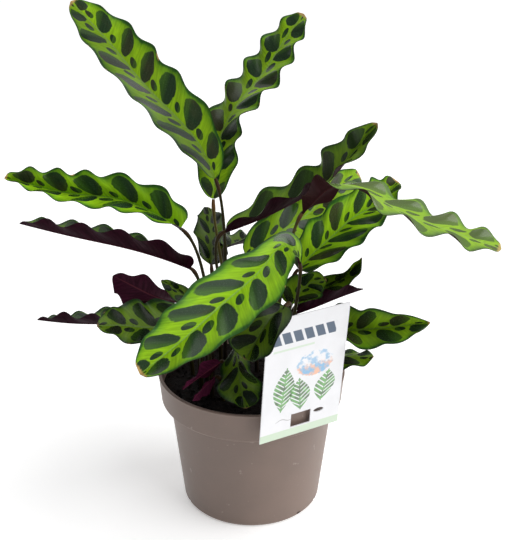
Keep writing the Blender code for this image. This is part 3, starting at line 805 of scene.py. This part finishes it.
def leaf_under_material(settings):
    """Wine purple with fine side veins and a satin face."""
    graph = Surface("Leaf underside")
    across, signed, _ = graph.split(graph.map("Veins"))
    streaks = graph.noise(graph.join(across * 9.0, signed), 1.4)
    purple = settings.purple
    colour = graph.mix(graph.span(streaks, 0.3, 0.72), scaled(purple, 0.5), purple)
    ribbed = (purple[0] * 1.9, purple[1] * 3.0, purple[2] * 1.4)
    colour = graph.mix(graph.span(abs(signed), 0.06, 0.02), colour, ribbed)
    return graph.finish({
        # The tone also holds painted shade; the Pale value mixes in rust brown
        "Base Color": graph.mix(
            graph.field("Pale") * 2.5, toned_and_shaded(graph, colour), settings.rust),
        "Roughness": graph.span(streaks, 0.2, 0.8, 0.70, 0.55),
        "Specular IOR Level": 0.04,
    }, streaks, 0.4, 0.0004)


def stem_material(settings):
    """Olive stems, red brown at the foot, paler on the swollen joint, finely streaked."""
    graph = Surface("Stem")
    along, around, _ = graph.split(graph.map("Stem"))
    streaks = graph.noise(graph.join(around * 14.0, along), 2.0)
    colour = graph.mix(graph.span(along, 0.0, 0.75), settings.foot, settings.stem)
    colour = graph.mix(graph.span(along, 0.90, 0.97), colour, settings.swelling)
    clouds = graph.use(fine_grain(), Scale=60.0)["Clouds"]
    share = graph.span(streaks + clouds, 0.95, 1.35, 0.0, 0.7)
    return graph.finish({
        "Base Color": toned_and_shaded(graph, graph.mix(share, colour, scaled(settings.foot, 0.5))),
        "Roughness": graph.span(clouds, 0.3, 0.7, 0.40, 0.6),
        "Specular IOR Level": 0.16,
    }, streaks, 0.3, 0.0003)


def pot_material(settings):
    """Satin moulded plastic with faint clouds, dust specks, a fine skin and painted shade in
    the pockets at the foot.
    """
    graph = Surface("Pot plastic")
    marks = graph.use(fine_grain(), Scale=16.0)
    height = graph.split(graph.place())[2]
    dull = scaled(settings.plastic, 0.86)
    colour = graph.mix(graph.span(marks["Clouds"], 0.35, 0.68), dull, settings.plastic)
    colour = graph.mix(marks["Specks"] * 0.5, colour, settings.dust)
    colour = graph.mix(graph.span(height, 0.014, 0.0) * 0.35, colour, dull)
    return graph.finish({
        # The Shade value darkens the foot's pockets: painted shade
        "Base Color": graph.mix(graph.field("Shade") * 0.9, colour, scaled(dull, 0.1)),
        "Roughness": graph.span(marks["Clouds"], 0.3, 0.7, 0.40, 0.52),
    }, marks["Height"], 0.10, 0.0004)


def soil_material(settings):
    """Almost black damp crumbs with drier brown ones between them."""
    graph = Surface("Potting soil")
    marks = graph.use(fine_grain(), Scale=120.0)
    cells = graph.term(
        "ShaderNodeTexVoronoi", {"Vector": graph.place(), "Scale": 420.0}, "Distance")
    dry = graph.span(marks["Clouds"], 0.48, 0.72) * 0.7
    return graph.finish({
        "Base Color": graph.mix(dry, settings.soil, settings.crumb),
        "Roughness": graph.span(marks["Clouds"], 0.3, 0.7, 0.72, 0.95),
        "Specular IOR Level": 0.15,
    }, marks["Height"] + cells, 0.9, 0.0014)


def card_material(settings):
    """White card: a slate header of slanting bars, a painted sky patch, three leafy sprigs
    and a pale green band at the foot, on the card's own map in millimetres over 100."""
    graph = Surface("Care card")
    across, up, _ = graph.split(graph.map("Card"))
    front = graph.math("LESS_THAN", up, BACK_SHIFT / 2.0)
    across = across * CARD_UNIT
    up = up * CARD_UNIT
    marks = graph.use(fine_grain(), Scale=60.0)
    flat = graph.join(across, up)
    cloud = graph.noise(flat, 0.16)
    soft = graph.noise(flat, 0.5) - 0.5
    paper = settings.paper
    grey = scaled(paper, 0.95)
    colour = graph.mix(graph.span(marks["Clouds"], 0.3, 0.7), grey, paper)

    def inside(value, low, high, soften=0.12):
        """One between low and high, with soft ends."""
        rising = graph.span(value, low - soften, low + soften)
        return rising * graph.span(value, high + soften, high - soften)

    # Header of slanting bars
    bars = graph.math("PINGPONG", across + up * 0.35, 4.3)
    header = inside(up, 28.5, 37.5) * inside(across, -28.0, 22.5)
    colour = graph.mix(header * graph.span(bars, 0.9, 1.3), colour, settings.ink)
    fine = inside(up, 23.0, 24.6) * inside(across, -26.0, 6.0)
    colour = graph.mix(fine * 0.6, colour, settings.band)

    # Painted patch with a soft rim
    ring = graph.oval(across - 8.0, up - 7.5, 15.0, 10.5) + soft * 0.25
    painted = graph.mix(graph.span(cloud, 0.40, 0.60), settings.wash, settings.peach)
    painted = graph.mix(graph.span(up + soft * 12.0, 4.0, 9.0), painted, paper)
    painted = graph.mix(graph.span(cloud, 0.52, 0.40, 0.0, 0.8), painted, settings.wash)
    colour = graph.mix(graph.span(ring, 1.0, 0.93), colour, painted)

    # Sprigs, each a stalk with slanting leaflets on both sides
    for centre, foot, tall, lean in SPRIGS:
        high = up - foot
        away = abs(across - centre - high * lean)
        reach = graph.math("SINE", high / tall * math.pi) * 8.5
        rows = graph.math("PINGPONG", high - away * 0.75, 1.7)
        leaflets = graph.span(rows, 0.35, 0.65) * graph.span(reach - away, 0.0, 0.5)
        stalk = graph.span(away, 0.55, 0.35)
        drawn = graph.math("MAXIMUM", leaflets, stalk) * inside(high, 0.0, tall)
        tint = graph.mix(graph.span(cloud, 0.40, 0.56), scaled(settings.sprig, 0.3),
                         settings.sprig)
        colour = graph.mix(drawn * 0.85, colour, tint)

    # Foot band, and the slit above it drawn as a wavy line of painted shade
    colour = graph.mix(graph.span(up, -43.0, -43.4) * 0.75, colour, settings.band)
    wavy = up + (graph.math("SINE", across * 0.5) + 34.5)
    slit_shade = graph.oval(across + 14.0, wavy, 6.5, 0.35)
    colour = graph.mix(graph.span(slit_shade, 1.15, 0.85, 0.0, 0.7), colour, (0.30, 0.29, 0.28))
    return graph.finish({
        "Base Color": graph.mix(graph.math("LESS_THAN", front, 0.5), colour, grey),
        "Roughness": graph.span(marks["Clouds"], 0.3, 0.7, 0.40, 0.55),
    }, marks["Height"], 0.06, 0.0002)


# Pieces


def pot_profile():
    """The pot's outline from the middle of its base, up outside, over the rim and down."""
    band = POT_HEIGHT - BAND_HEIGHT
    slope = (BODY_TOP_RADIUS - BASE_RADIUS) / (band - 5.2)
    above = [(BASE_RADIUS + slope * (rise - 1.8), rise) for rise in (2.6, 3.5, 3.7, 4.6)]
    return [
        (POLE_RADIUS, 0.0), (BASE_RADIUS - 1.6, 0.0), (BASE_RADIUS - 0.89, 0.8),
        (BASE_RADIUS - 0.71, 1.0), (BASE_RADIUS, 1.8), *above,
        (BODY_TOP_RADIUS, band - 3.4), (BODY_TOP_RADIUS + 3.4, band - 1.6),
        (BAND_BOTTOM_RADIUS, band + 1.4), (RIM_RADIUS - 0.4, POT_HEIGHT - 1.6),
        (RIM_RADIUS, POT_HEIGHT - 0.9), (RIM_RADIUS - 0.5, POT_HEIGHT),
        (RIM_RADIUS - LIP, POT_HEIGHT), (RIM_RADIUS - LIP - 0.5, POT_HEIGHT - 1.2),
        (BAND_BOTTOM_RADIUS - WALL, band + 1.0), (BODY_TOP_RADIUS - WALL, band - 2.6),
        (BASE_RADIUS - WALL, FLOOR + 1.4), (BASE_RADIUS - WALL - 1.4, FLOOR),
        (POLE_RADIUS, FLOOR),
    ]


def stem_line(spec, count):
    """A stem's centre line: straight in its hole, then a cubic bend that ends along the
    midrib a small gap below the blade."""
    curve = smooth_curve(spec.spine, 40)[0]
    ahead = unit(curve[1] - curve[0])
    foot = np.array((*spec.foot, SOIL_TOP + SOIL_DOME + SOIL_LUMP))
    end = curve[0] - ahead * JOINT_GAP
    reach = np.linalg.norm(end - foot)
    rise = foot + (0.0, 0.0, STEM_RISE * reach)
    arrive = end - ahead * STEM_ARRIVAL * reach
    share = np.linspace(0.0, 1.0, count)[:, None]
    back = 1.0 - share
    bend = (back ** 3 * foot + 3.0 * back ** 2 * share * rise
            + 3.0 * back * share ** 2 * arrive + share ** 3 * end)
    straight = np.tile(foot, (SUNK_STATIONS, 1))
    bottom = SOIL_TOP - HOLE_DEPTH + JOINT_GAP
    straight[:, 2] = np.linspace(bottom, foot[2], SUNK_STATIONS, endpoint=False)
    return np.concatenate([straight, bend])


class PLANT_OT_pot(bpy.types.Operator):
    """Turns the pot and presses the small pockets into its foot"""

    bl_idname = "plant.add_pot"
    bl_label = "Pot"

    def execute(self, context):
        settings = context.scene.plant_pot
        profile = rounded(pot_profile())
        points = lathe_grid(profile, settings.segments)
        turn = np.degrees(np.arctan2(points[0, :, 1], points[0, :, 0])) + 90.0
        outside = np.arange(len(profile)) < len(profile) // 3
        middle = NOTCH_FOOT + NOTCH_HEIGHT / 2.0
        low = (np.abs(profile[:, 1] - middle) < NOTCH_HEIGHT / 2.0) & outside
        # Shade marks the pocket points, which the material darkens as painted shade
        shade = np.zeros(points.shape[:2])
        for angle in NOTCH_ANGLES:
            away = np.abs((turn - angle + 180.0) % 360.0 - 180.0)
            near = away < math.degrees(NOTCH_WIDTH / 2.0 / BASE_RADIUS)
            points[np.ix_(low, near, [0, 1])] *= 1.0 - NOTCH_DEPTH / BASE_RADIUS
            shade[np.ix_(low, near)] = 1.0
        faces = grid_quads(len(profile), settings.segments, closed=True)
        pot = make_piece("nursery_pot", points, faces, [pot_material(settings)],
                         fields={"Shade": shade}, angle=50.0)
        seal(pot)
        seat(pot, "pot")
        return {"FINISHED"}


class PLANT_OT_soil(bpy.types.Operator):
    """Fills the pot with crumbly soil"""

    bl_idname = "plant.add_soil"
    bl_label = "Soil"

    def execute(self, context):
        settings = context.scene.plant_pot
        band = POT_HEIGHT - BAND_HEIGHT
        inner = WALL + SOIL_GAP
        edge = BAND_BOTTOM_RADIUS - inner + 0.55
        side = [(POLE_RADIUS, FLOOR + SOIL_GAP), (BASE_RADIUS - inner - 1.5, FLOOR + SOIL_GAP),
                (BASE_RADIUS - inner, FLOOR + 1.6), (BODY_TOP_RADIUS - inner, band - 2.4),
                (BAND_BOTTOM_RADIUS - inner, band + 1.3)]
        shares = np.linspace(1.0, 0.001, SOIL_RINGS)
        top = np.stack([edge * shares, SOIL_TOP + SOIL_DOME * (1.0 - shares)], axis=-1)
        profile = np.concatenate([np.array(side), top])
        points = lathe_grid(profile, SOIL_SEGMENTS)
        upper = points[len(side):]
        loose = np.clip((1.0 - shares) * 12.0, 0.0, 1.0)[:, None]
        lumps = sum(ripple(upper[..., :2], scale, seed) * height
                    for scale, seed, height in SOIL_WAVES)
        upper[..., 2] += lumps * loose
        faces = grid_quads(len(profile), SOIL_SEGMENTS, closed=True)
        soil = make_piece("potting_soil", points, faces, [soil_material(settings)])
        seal(soil)
        seat(soil, "soil")
        self.scatter(settings, soil.data.materials[0], edge)
        return {"FINISHED"}

    def scatter(self, settings, material, edge):
        """Loose crumbs: small lumpy balls strewn evenly over the disc, each point of a ball
        pushed in or out by a smooth random height."""
        random = np.random.default_rng(CRUMB_SEED)
        count = settings.crumbs
        if not count:
            return
        sphere = bmesh.new()
        bmesh.ops.create_icosphere(sphere, subdivisions=1, radius=1.0)
        ball = np.array([vertex.co for vertex in sphere.verts])
        faces = np.array([[vertex.index for vertex in face.verts] for face in sphere.faces])
        sphere.free()
        away = (edge - 2.0) * np.sqrt(random.uniform(0.0, 1.0, count))
        turn = random.uniform(0.0, 2.0 * np.pi, count)
        size = random.uniform(*CRUMB_SIZES, count)
        place = np.stack([away * np.cos(turn), away * np.sin(turn),
                          SOIL_TOP + SOIL_DOME * (1.0 - away / edge) + 0.3], axis=-1)
        stretch = random.uniform(0.6, 1.3, (count, 1, 3))
        crumbs = ball[None] * stretch * size[:, None, None]
        crumbs = crumbs * (1.0 + 0.2 * random.normal(size=(count, len(ball), 1)))
        points = crumbs + place[:, None]
        numbers = faces[None] + (np.arange(count) * len(ball))[:, None, None]
        piece = make_piece("soil_crumbs", points, numbers.reshape(-1, 3), [material])
        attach(piece, "root")


class PLANT_OT_card(bpy.types.Operator):
    """Prints the care card that hangs on the rim"""

    bl_idname = "plant.add_card"
    bl_label = "Care card"

    def execute(self, context):
        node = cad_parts["label"]
        mesh = node.data.copy()
        mesh.name = "care_card"
        piece = bpy.data.objects.new("care_card", mesh)
        context.scene.collection.objects.link(piece)
        seal(piece)
        away = gather(mesh.vertices, "co", 3) / MM - CARD_CENTRE
        turn = math.radians(CARD_TURN)
        across = away[:, 0] * math.cos(turn) + away[:, 1] * math.sin(turn)
        up = away[:, 2] / math.cos(math.radians(CARD_LEAN))
        corners = gather(mesh.loops, "vertex_index", kind=np.int32)
        flat = np.stack([across, up], axis=-1)[corners] / CARD_UNIT
        facing = gather(mesh.polygons, "normal", 3) @ (math.sin(turn), -math.cos(turn), 0.0)
        sizes = gather(mesh.polygons, "loop_total", kind=np.int32)
        flat[:, 1] += np.where(np.repeat(facing, sizes) < 0.5, BACK_SHIFT, 0.0)
        for layer in list(mesh.uv_layers):
            mesh.uv_layers.remove(layer)
        layer = mesh.uv_layers.new(name="Card")
        layer.data.foreach_set("uv", flat.astype(np.float32).ravel())
        mesh.materials.clear()
        mesh.materials.append(card_material(context.scene.plant_card))
        mesh.polygons.foreach_set("use_smooth", np.zeros(len(mesh.polygons), dtype=bool))
        seat(piece, "label")
        return {"FINISHED"}


class PLANT_OT_leaves(bpy.types.Operator):
    """Grows the waved, marked blades"""

    bl_idname = "plant.add_leaves"
    bl_label = "Leaves"

    def execute(self, context):
        settings = context.scene.plant_leaf
        materials = [leaf_top_material(settings), leaf_under_material(settings)]
        for spec in LEAVES:
            self.grow(spec, settings, materials)
        return {"FINISHED"}

    def grow(self, spec, settings, materials):
        """One blade: the middle surface moved half its thickness to both sides, thinner at
        the rim, with the midrib as a groove above and a round ridge below."""
        length = smooth_curve(spec.spine, 9)[1]
        rows = max(28, round(length * MM / settings.spacing))
        across = np.linspace(-1.0, 1.0, settings.columns)
        middle, half, length = blade_surface(spec, rows, across)
        normal = unit(np.cross(np.gradient(middle, axis=1), np.gradient(middle, axis=0)))
        reach = np.abs(across)[None, :]
        along = np.linspace(0.0, 1.0, rows)[:, None]
        thick = settings.thickness / MM / 2.0 * (1.0 - RIM_THINNING * reach ** 3)
        sides = vein_places(spec, half, length, across, rows)
        pattern = np.where(across[None, :] > 0, *sides)
        veins = np.cos(2.0 * np.pi * pattern * QUILTS_PER_BLOTCH)
        quilt = QUILT_HEIGHT * veins * np.sin(np.pi * reach)
        close = np.exp(-(reach * half / RIB_REACH) ** 2)
        top = middle + normal * (thick + quilt - GROOVE_DEPTH * close)[..., None]
        ridge = RIDGE_HEIGHT * (1.0 - RIDGE_TAPER * along) * close
        under = middle - normal * (thick - quilt + ridge)[..., None]
        points = np.concatenate([top.reshape(-1, 3), under.reshape(-1, 3)])
        columns = len(across)
        total = rows * columns
        upper = grid_quads(rows, columns)
        lower = upper[:, ::-1] + total
        rim = np.concatenate([
            np.arange(columns), np.arange(1, rows) * columns + columns - 1,
            (rows - 1) * columns + np.arange(columns - 2, -1, -1),
            np.arange(rows - 2, 0, -1) * columns])
        following = np.roll(rim, -1)
        wall = np.stack([rim, total + rim, total + following, following], axis=-1)
        faces = np.concatenate([upper, lower, wall])
        above = np.full(len(upper), float(spec.name in ROLLED))
        indices = np.concatenate([above, np.ones(len(lower) + len(wall))])

        def at_corners(values):
            return np.broadcast_to(values, (rows, columns)).ravel()[faces % total]

        signed = at_corners(across)
        right = signed.mean(axis=1, keepdims=True) > 0
        veins = np.where(right, *(at_corners(side) for side in sides))
        # Each blade holds its tone together with its painted shade, and its painted sheen in
        # the Pale value
        piece = make_piece(
            "blade_" + spec.name, points, faces, materials, indices,
            {"Veins": np.stack([veins, signed], axis=-1),
             "Blade": np.stack([at_corners(along), signed], axis=-1)},
            {"Tone": TONES_AND_SHADE.get(spec.name, 1.0), "Pale": SHEEN_AND_RUST.get(spec.name, 0.0)},
            angle=60.0)
        seal(piece, merge=False)
        seat(piece, "leaf_" + spec.name)


class PLANT_OT_stems(bpy.types.Operator):
    """Raises the stems from the soil"""

    bl_idname = "plant.add_stems"
    bl_label = "Stems"

    def execute(self, context):
        settings = context.scene.plant_leaf
        material = stem_material(settings)
        for spec in LEAVES:
            self.grow(spec, settings.sides, material)
        return {"FINISHED"}

    def grow(self, spec, sides, material):
        """One stem: a round tube that thins upwards and swells below the blade as a bell
        curve, closed at both ends, mapped by its height and the way round it."""
        path = stem_line(spec, STEM_STATIONS)
        steps = np.linalg.norm(np.diff(path, axis=0), axis=1)
        left = np.concatenate([np.cumsum(steps[::-1])[::-1], [0.0]])
        standing = left[SUNK_STATIONS]
        share = np.clip(1.0 - left / standing, 0.0, 1.0)
        radius = STEM_FOOT_RADIUS + (STEM_TOP_RADIUS - STEM_FOOT_RADIUS) * share
        away = (left - SWELL_LENGTH * SWELL_PLACE) / (SWELL_LENGTH * SWELL_SPREAD)
        radius = radius + ((SWELL_RADIUS - STEM_TOP_RADIUS) * np.exp(-away ** 2)
                           * min(standing / SHORT_STEM, 1.0))
        rings = tube(path, radius, sides).reshape(-1, 3)
        points = np.concatenate([rings, path[:1], path[-1:]])
        along = np.clip(1.0 - left / max(standing, STEM_COLOUR_LENGTH), 0.0, 1.0)
        around = np.abs(np.linspace(-1.0, 1.0, sides, endpoint=False))
        flat = np.stack(np.broadcast_arrays(along[:, None], around), axis=-1)
        flat = np.concatenate([flat.reshape(-1, 2), [[along[0], 0.5], [1.0, 0.5]]])
        ring = np.arange(sides)
        after = np.roll(ring, -1)
        last = len(rings) - sides
        pole = np.full(sides, len(rings))
        faces = np.concatenate([
            grid_quads(len(path), sides, closed=True),
            np.stack([after, ring, pole, pole], axis=-1),
            np.stack([last + ring, last + after, pole + 1, pole + 1], axis=-1)])
        tone = OLIVE_STEM_TONE if spec.name in OLIVE_STEMS else DARK_STEM_TONE
        piece = make_piece("stalk_" + spec.name, points, faces, [material],
                           maps={"Stem": flat[faces]}, fields={"Tone": tone}, angle=60.0)
        seal(piece)
        seat(piece, "stem_" + spec.name)


class PLANT_OT_stage(bpy.types.Operator):
    """Sets the pale floor, the soft lights and the camera"""

    bl_idname = "plant.set_stage"
    bl_label = "Stage"

    def execute(self, context):
        settings = context.scene.plant_stage
        scene = context.scene
        scene.view_settings.view_transform = "Standard"
        square = [(x * FLOOR_HALF, y * FLOOR_HALF, -FLOOR_DROP)
                  for x, y in ((-1, -1), (1, -1), (1, 1), (-1, 1))]
        graph = Surface("Pale floor")
        colour = graph.mix(graph.noise(graph.place(), 3.0), settings.floor,
                           scaled(settings.floor, 0.985))
        material = graph.finish({
            "Base Color": colour, "Roughness": 0.6, "Specular IOR Level": 0.2,
            "Emission Color": settings.floor, "Emission Strength": settings.glow})
        floor = make_piece("floor", square, [(0, 1, 2, 3)], [material])
        world = bpy.data.worlds.new("Even room light")
        world.use_nodes = True
        sky = world.node_tree.nodes["Background"]
        sky.inputs[0].default_value = (1.0, 1.0, 1.0, 1.0)
        sky.inputs[1].default_value = settings.sky
        scene.world = world
        self.light("SUN", "key", KEY_PLACE, settings.key, math.radians(KEY_ANGLE))
        self.light("AREA", "fill", FILL_PLACE, settings.fill, FILL_SIDE)
        camera = bpy.data.cameras.new("camera")
        camera.sensor_width = SENSOR_WIDTH
        camera.lens = settings.lens
        camera.shift_x = CAMERA_SHIFT
        view = bpy.data.objects.new("camera", camera)
        view.location = (0.0, -settings.distance * math.cos(settings.tilt),
                         settings.height + settings.distance * math.sin(settings.tilt))
        view.rotation_euler = (math.pi / 2.0 - settings.tilt, 0.0, 0.0)
        scene.collection.objects.link(view)
        scene.camera = view
        return {"FINISHED"}

    def light(self, kind, name, place, power, size):
        """A soft light aimed at the middle of the plant. Its size is the angle that a sun
        fills or the side of a square panel."""
        lamp = bpy.data.lights.new(name, kind)
        lamp.energy = power
        setattr(lamp, "angle" if kind == "SUN" else "size", size)
        item = bpy.data.objects.new(name, lamp)
        item.location = place
        aim = np.array(LIGHT_AIM) - place
        flat = math.hypot(aim[0], aim[1])
        item.rotation_euler = (math.atan2(flat, -aim[2]), 0.0,
                               math.atan2(aim[1], aim[0]) - math.pi / 2.0)
        bpy.context.scene.collection.objects.link(item)


class PLANT_PT_panel(bpy.types.Panel):
    """Lists the pieces of the plant"""

    bl_idname = "PLANT_PT_panel"
    bl_label = "Rattlesnake Plant"
    bl_space_type = "VIEW_3D"
    bl_region_type = "UI"
    bl_category = "Rattlesnake Plant"

    def draw(self, context):
        for group, (kind, *operators) in GROUPS.items():
            column = self.layout.column(align=True)
            for name in kind.__annotations__:
                column.prop(getattr(context.scene, group), name)
            for operator in operators:
                column.operator(operator.bl_idname)


GROUPS = {
    "plant_pot": (PotSettings, PLANT_OT_pot, PLANT_OT_soil),
    "plant_card": (CardSettings, PLANT_OT_card),
    "plant_leaf": (LeafSettings, PLANT_OT_leaves, PLANT_OT_stems),
    "plant_stage": (StageSettings, PLANT_OT_stage),
}
CLASSES = (*(item for group in GROUPS.values() for item in group), PLANT_PT_panel)


def register():
    """Registers the classes and hangs the settings on the scene."""
    for item in CLASSES:
        bpy.utils.register_class(item)
    for name, group in GROUPS.items():
        setattr(bpy.types.Scene, name, PointerProperty(type=group[0]))


def unregister():
    """Takes the settings and classes away again."""
    for name in GROUPS:
        delattr(bpy.types.Scene, name)
    for item in reversed(CLASSES):
        bpy.utils.unregister_class(item)


def main():
    """Builds every piece and the stage."""
    register()
    bpy.ops.plant.add_pot()
    bpy.ops.plant.add_soil()
    bpy.ops.plant.add_card()
    bpy.ops.plant.add_leaves()
    bpy.ops.plant.add_stems()
    bpy.ops.plant.set_stage()


if __name__ == "__main__":
    main()
